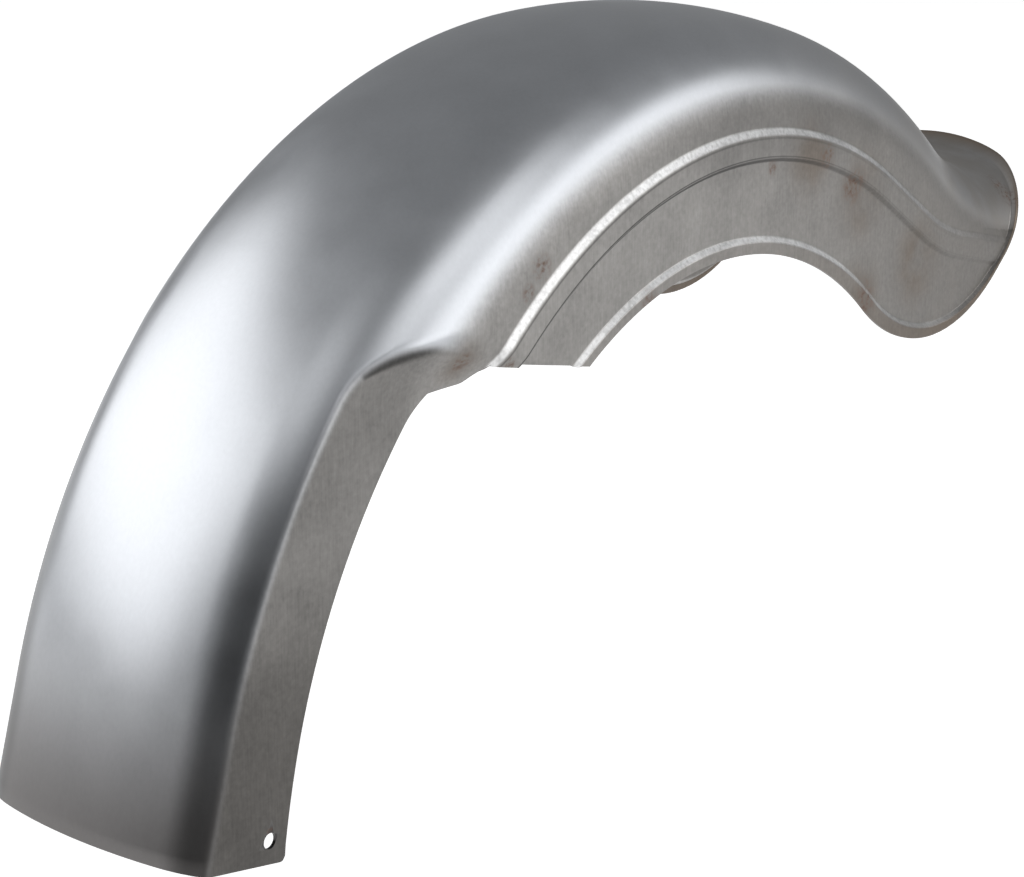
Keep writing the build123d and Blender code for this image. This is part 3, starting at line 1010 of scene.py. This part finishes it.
class SteelNodes(Nodes):
    """Nodes of the bare steel, with the places, marks and patterns that its parts share."""

    def __init__(self, tree, finish):
        super().__init__(tree)
        self.finish = finish
        where = self.add("ShaderNodeTexCoord").outputs["Object"]
        self.x, self.y, self.z = self.axes(where)
        self.side = self.add("ShaderNodeCombineXYZ", self.x, 0.0, self.z).outputs[0]
        self.on_left = self.math("LESS_THAN", self.y, 0.0)
        self.wall, self.edge, self.ledge, self.hollow = (
            self.add("ShaderNodeAttribute", attribute_name=name).outputs["Fac"] for name in MARKS
        )
        self.brushed = self.noise(where, BRUSH_SCALE, 2.0)
        self.cloudy = self.noise(where, CLOUD_SCALE, 3.0)
        self.grainy = self.noise(where, GRAIN_SCALE, 2.0)
        self.at_front = self.ramp(self.x, *FRONT_END)
        # Painted shade at the front end's foot, which also carries a brown stain
        height = self.math("SUBTRACT", self.z, self.times(self.wall, FOOT_LIFT))
        self.towards_foot = self.times(self.at_front, self.ramp(height, *FOOT_FALL))
        patchy = self.ramp(self.cloudy, 0.2, 0.7, 0.78, 1.0)
        self.towards_tail = self.times(self.ramp(self.x, *TAIL_RUN), patchy)

    def by_place(self, crown, wall):
        """One value on the crown and another on the walls."""
        return self.ramp(self.wall, 0.0, 1.0, crown, wall)

    def darkened(self, share, left):
        """1 where a share is 0, and what is left of the tone where it is 1."""
        return self.ramp(share, 0.0, 1.0, 1.0, left)

    def uneven(self):
        """Brush marks, clouds and grain about 1, stronger on the walls than on the crown."""
        total = 1.0
        for pattern, crown, wall in (
            (self.grainy, 0.08, 0.4), (self.cloudy, 0.12, 0.6), (self.brushed, 0.06, 0.3)
        ):
            part = self.times(self.math("SUBTRACT", pattern, 0.5), self.by_place(crown, wall))
            total = self.math("ADD", part, total)
        return total

    def along_fold(self):
        """Painted shade: dark band on the crown's side of the front fold, standing in for the dark
        surroundings mirrored there.
        """
        outwards = self.ramp(self.math("ABSOLUTE", self.y), *FOLD_SHADE_SIDE)
        return self.times(outwards, self.ramp(self.z, *FOLD_SHADE_FALL), self.at_front, self.by_place(1.0, 0.0))

    def shade(self):
        """Share of the steel's own tone at each place: its brush marks, clouds and grain, the painted shade
        in the strip's creases, at the front end's foot, along the front fold, in the pocket under the
        flare, on the front wall and on the rear shoulder, and the tone added on the crown towards the tail.
        """
        finish = self.finish
        # Painted shade in the strip's creases, stronger at the front
        crease_painted_shade = self.times(self.hollow, self.ramp(self.x, *CREASE_SHADE_RUN, 0.85, 0.22))
        # Painted shade left at the front end's foot
        foot = self.by_place(finish.crown_foot, finish.wall_foot)
        # Painted shade in the pocket under the flare, on the left wall only
        pocket_shade = self.times(self.streak(self.side, POCKET_SHADE_START, POCKET_SHADE_END, POCKET_SHADE_RADII), self.wall, self.on_left)
        # Painted shade on the front wall and on the rear shoulder above the strip
        front_painted_shade = self.times(self.ramp(self.x, *FRONT_WALL_SHADE), self.wall)
        shoulder_painted_shade = self.times(
            self.ramp(self.x, *SHOULDER_SHADE_RUN), self.ramp(self.z, *SHOULDER_SHADE_RISE), self.wall
        )
        on_tail = self.times(self.towards_tail, self.by_place(finish.tail_gain, 0.0))
        return self.times(
            self.uneven(),
            self.math("SUBTRACT", 1.0, crease_painted_shade),
            self.darkened(self.towards_foot, foot),
            self.darkened(self.along_fold(), finish.fold_shade),
            self.darkened(pocket_shade, finish.soot_shade),
            self.darkened(front_painted_shade, finish.front_shade),
            self.darkened(shoulder_painted_shade, finish.shoulder_shade),
            self.math("ADD", on_tail, 1.0),
        )

    def tone(self):
        """Colour of the steel with its stains and the painted highlight on the ledges of strip and lip,
        before it is shaded.
        """
        finish = self.finish
        patchy = self.ramp(self.cloudy, 0.3, 0.65, 0.15, 0.6)
        stain = self.times(self.spots(self.side, STAIN_SPOTS), patchy, self.on_left)
        stained_edge = self.times(self.edge, self.ramp(self.x, *EDGE_RUN, 0.12, 0.82))
        browned = self.times(self.towards_foot, self.by_place(0.6, 0.18))
        # Painted highlight on the ledges, speckled and fading towards the tail
        ledge_painted_highlight = self.times(
            self.ledge,
            self.ramp(self.x, *LEDGE_HIGHLIGHT_END, 1.0, 0.15),
            self.ramp(self.grainy, 0.3, 0.6, 0.82, 1.0),
            self.ramp(self.x, *LEDGE_HIGHLIGHT_START, 0.72, 1.0),
        )
        tone = (*finish.crown, 1)
        for share, colour_there in (
            (self.wall, finish.wall),
            (self.towards_tail, finish.tail),
            (browned, finish.edge),
            (self.math("MAXIMUM", stained_edge, stain), finish.edge),
            (ledge_painted_highlight, finish.ledge),
        ):
            tone = self.mix(share, tone, (*colour_there, 1))
        return tone

    def rust(self):
        """Grainy flecks of rust."""
        grain = self.ramp(self.grainy, 0.35, 0.7, 0.0, 0.8)
        return self.times(self.spots(self.side, RUST_SPOTS), grain, self.on_left)

    def relief(self):
        """Fine brush marks and grain in the surface."""
        bump = self.add("ShaderNodeBump")
        bump.inputs["Strength"].default_value = 0.25
        bump.inputs["Distance"].default_value = 0.00005
        marks = self.math("ADD", self.times(self.brushed, self.wall), self.times(self.grainy, 0.35))
        self.put(bump.inputs["Height"], marks)
        return bump.outputs[0]


def steel_material(finish):
    """Bare steel: a rubbed crown, brushed walls, stained towards the tail and flecked with rust, with a
    painted highlight on the ledges and painted shade in the creases, at the front and on the shoulder.
    """
    material, tree, shader = new_material("raw_steel")
    nodes = SteelNodes(tree, finish)
    shaded = nodes.add("ShaderNodeVectorMath", nodes.tone(), operation="SCALE")
    nodes.put(shaded.inputs["Scale"], nodes.shade())
    rust = nodes.rust()
    rust_metallic = 0.25
    rust_roughness = 0.75
    cloud_roughness = 0.12
    clouds = nodes.times(nodes.math("SUBTRACT", nodes.cloudy, 0.5), cloud_roughness)
    rough = nodes.math("ADD", nodes.by_place(finish.crown_roughness, finish.wall_roughness), clouds)
    rough = nodes.math("MAXIMUM", rough, nodes.times(rust, rust_roughness))
    nodes.put(shader.inputs["Base Color"], nodes.mix(rust, shaded.outputs[0], (*finish.rust, 1)))
    nodes.put(shader.inputs["Metallic"], nodes.darkened(rust, rust_metallic))
    nodes.put(shader.inputs["Roughness"], rough)
    nodes.put(shader.inputs["Normal"], nodes.relief())
    return material


class FENDER_OT_finish(bpy.types.Operator):
    """Give the sheet its bare steel finish"""

    bl_idname = "fender.finish"
    bl_label = "Steel Finish"
    bl_options = {"REGISTER", "UNDO"}

    def execute(self, context):
        shell = bpy.data.objects.get("fender_sheet")
        if shell is None:
            raise RuntimeError("There is no fender sheet to finish")
        shell.data.materials.clear()
        shell.data.materials.append(steel_material(context.scene.fender_finish))
        return {"FINISHED"}


# Name, bearing and height in degrees, and width and height in metres of each lamp
LAMPS = (
    ("key", -147, 28, 14.2, 8.7),
    ("side", 26, 18, 15.6, 6.4),
    ("top", 0, 47, 9.4, 4.2),
    ("fill", -90, 53, 6.0, 4.5),
)
LAMP_DISTANCE = 12.0
FLOOR_SIZE = 40
FLOOR_DROP = 0.3

# Middle of the dark side of the surroundings, and how far it reaches at full and at no strength, in degrees
DARK_BEARING = (-70, 3)
DARK_CORE = 12
DARK_REACH = 36
SURROUND_COLOUR = (0.97, 0.985, 1.0, 1)

# Camera: place in metres, turn and dip in degrees, focal length and picture width in pixels
CAMERA_PLACE = (-0.6362, -0.7132, 0.4436)
CAMERA_TURN = 51.27
CAMERA_DIP = 13.1
FOCAL_LENGTH = 2301
PICTURE_WIDTH = 1024
SENSOR_WIDTH = 36.0
CAMERA_SHIFT = (-0.0057, -0.1313)


def towards(bearing, height):
    """Direction at a bearing, from the machine's left towards its rear, and a height, in degrees."""
    turn, rise = math.radians(bearing), math.radians(height)
    return Vector((math.sin(turn) * math.cos(rise), -math.cos(turn) * math.cos(rise), math.sin(rise)))


def add_lamp(name, direction, centre, size, power):
    """Soft box that faces the object from a direction."""
    bpy.ops.object.light_add(type="AREA", location=centre + direction * LAMP_DISTANCE)
    lamp = bpy.context.object
    lamp.name = name
    lamp.rotation_euler = (-direction).to_track_quat("-Z", "Y").to_euler()
    lamp.data.shape = "RECTANGLE"
    lamp.data.size, lamp.data.size_y = size
    lamp.data.energy = power
    lamp.visible_camera = False


def floor_material(studio):
    """Pale floor that shows nearly white to the camera and in the metal, and keeps the shadow."""
    material, tree, shader = new_material("floor")
    shader.inputs["Base Color"].default_value = (*studio.floor, 1)
    shader.inputs["Roughness"].default_value = 0.9
    nodes = Nodes(tree)
    rays = nodes.add("ShaderNodeLightPath").outputs
    mirrored = nodes.math("MAXIMUM", rays["Is Glossy Ray"], rays["Is Transmission Ray"])
    seen = nodes.math("MAXIMUM", rays["Is Camera Ray"], mirrored)
    nodes.put(shader.inputs["Emission Strength"], nodes.times(seen, studio.lift))
    shader.inputs["Emission Color"].default_value = (1, 1, 1, 1)
    return material


def set_world(studio):
    """Even surroundings with a dark side behind the camera."""
    world = bpy.data.worlds.new("studio")
    bpy.context.scene.world = world
    world.use_nodes = True
    nodes = Nodes(world.node_tree)
    place = nodes.add("ShaderNodeTexCoord").outputs["Generated"]
    dark = nodes.add("ShaderNodeVectorMath", place, towards(*DARK_BEARING), operation="DOT_PRODUCT")
    outer, inner = (math.cos(math.radians(reach)) for reach in (DARK_REACH, DARK_CORE))
    level = nodes.ramp(dark.outputs["Value"], outer, inner, 1.0, studio.shade)
    background = world.node_tree.nodes["Background"]
    background.inputs["Color"].default_value = SURROUND_COLOUR
    nodes.put(background.inputs["Strength"], nodes.times(level, studio.surround))


class FENDER_OT_stage(bpy.types.Operator):
    """Set the floor, the soft lamps and the camera"""

    bl_idname = "fender.stage"
    bl_label = "Studio"
    bl_options = {"REGISTER", "UNDO"}

    def execute(self, context):
        studio = context.scene.fender_studio
        low, high = Vector(cad_box[0]), Vector(cad_box[1])
        middle = (low + high) / 2
        deselect()
        below = (middle.x, middle.y, low.z - FLOOR_DROP)
        bpy.ops.mesh.primitive_plane_add(size=FLOOR_SIZE, location=below)
        floor = context.object
        floor.name = "floor"
        floor.data.materials.append(floor_material(studio))
        for name, bearing, height, *size in LAMPS:
            add_lamp(f"{name}_lamp", towards(bearing, height), middle, size, getattr(studio, name))
        set_world(studio)
        self.place_camera(context)
        return {"FINISHED"}

    def place_camera(self, context):
        """Camera at the photograph's viewing angle."""
        bpy.ops.object.camera_add(location=CAMERA_PLACE)
        camera = context.object
        turn, dip = math.radians(CAMERA_TURN), math.radians(CAMERA_DIP)
        forward = Vector((math.sin(turn) * math.cos(dip), math.cos(turn) * math.cos(dip), -math.sin(dip)))
        camera.rotation_euler = forward.to_track_quat("-Z", "Y").to_euler()
        camera.data.sensor_width = SENSOR_WIDTH
        camera.data.lens = SENSOR_WIDTH * FOCAL_LENGTH / PICTURE_WIDTH
        camera.data.shift_x, camera.data.shift_y = CAMERA_SHIFT
        camera.data.clip_start = 0.01
        context.scene.camera = camera


class FENDER_PT_panel(bpy.types.Panel):
    """Sizes, finish and studio of the fender"""

    bl_idname = "FENDER_PT_panel"
    bl_label = "Rear Fender"
    bl_space_type = "VIEW_3D"
    bl_region_type = "UI"
    bl_category = "Fender"

    def draw(self, context):
        layout = self.layout
        for group, button in (
            (context.scene.fender_sizes, FENDER_OT_shell),
            (context.scene.fender_finish, FENDER_OT_finish),
            (context.scene.fender_studio, FENDER_OT_stage),
        ):
            column = layout.column()
            for name in type(group).__annotations__:
                column.prop(group, name)
            layout.operator(button.bl_idname)


CLASSES = (
    FenderSizes,
    FenderFinish,
    FenderStudio,
    FENDER_OT_shell,
    FENDER_OT_finish,
    FENDER_OT_stage,
    FENDER_PT_panel,
)


def register():
    """Adds the classes and the scene's settings."""
    for cls in CLASSES:
        bpy.utils.register_class(cls)
    bpy.types.Scene.fender_sizes = bpy.props.PointerProperty(type=FenderSizes)
    bpy.types.Scene.fender_finish = bpy.props.PointerProperty(type=FenderFinish)
    bpy.types.Scene.fender_studio = bpy.props.PointerProperty(type=FenderStudio)


def unregister():
    """Takes the classes and the scene's settings away again."""
    del bpy.types.Scene.fender_studio
    del bpy.types.Scene.fender_finish
    del bpy.types.Scene.fender_sizes
    for cls in reversed(CLASSES):
        bpy.utils.unregister_class(cls)


def main():
    """Builds the fender, its finish and the studio."""
    register()
    deselect()
    bpy.ops.fender.shell()
    bpy.ops.fender.finish()
    bpy.ops.fender.stage()
    bpy.context.scene.view_settings.view_transform = "Standard"
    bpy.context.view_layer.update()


if __name__ == "__main__":
    main()
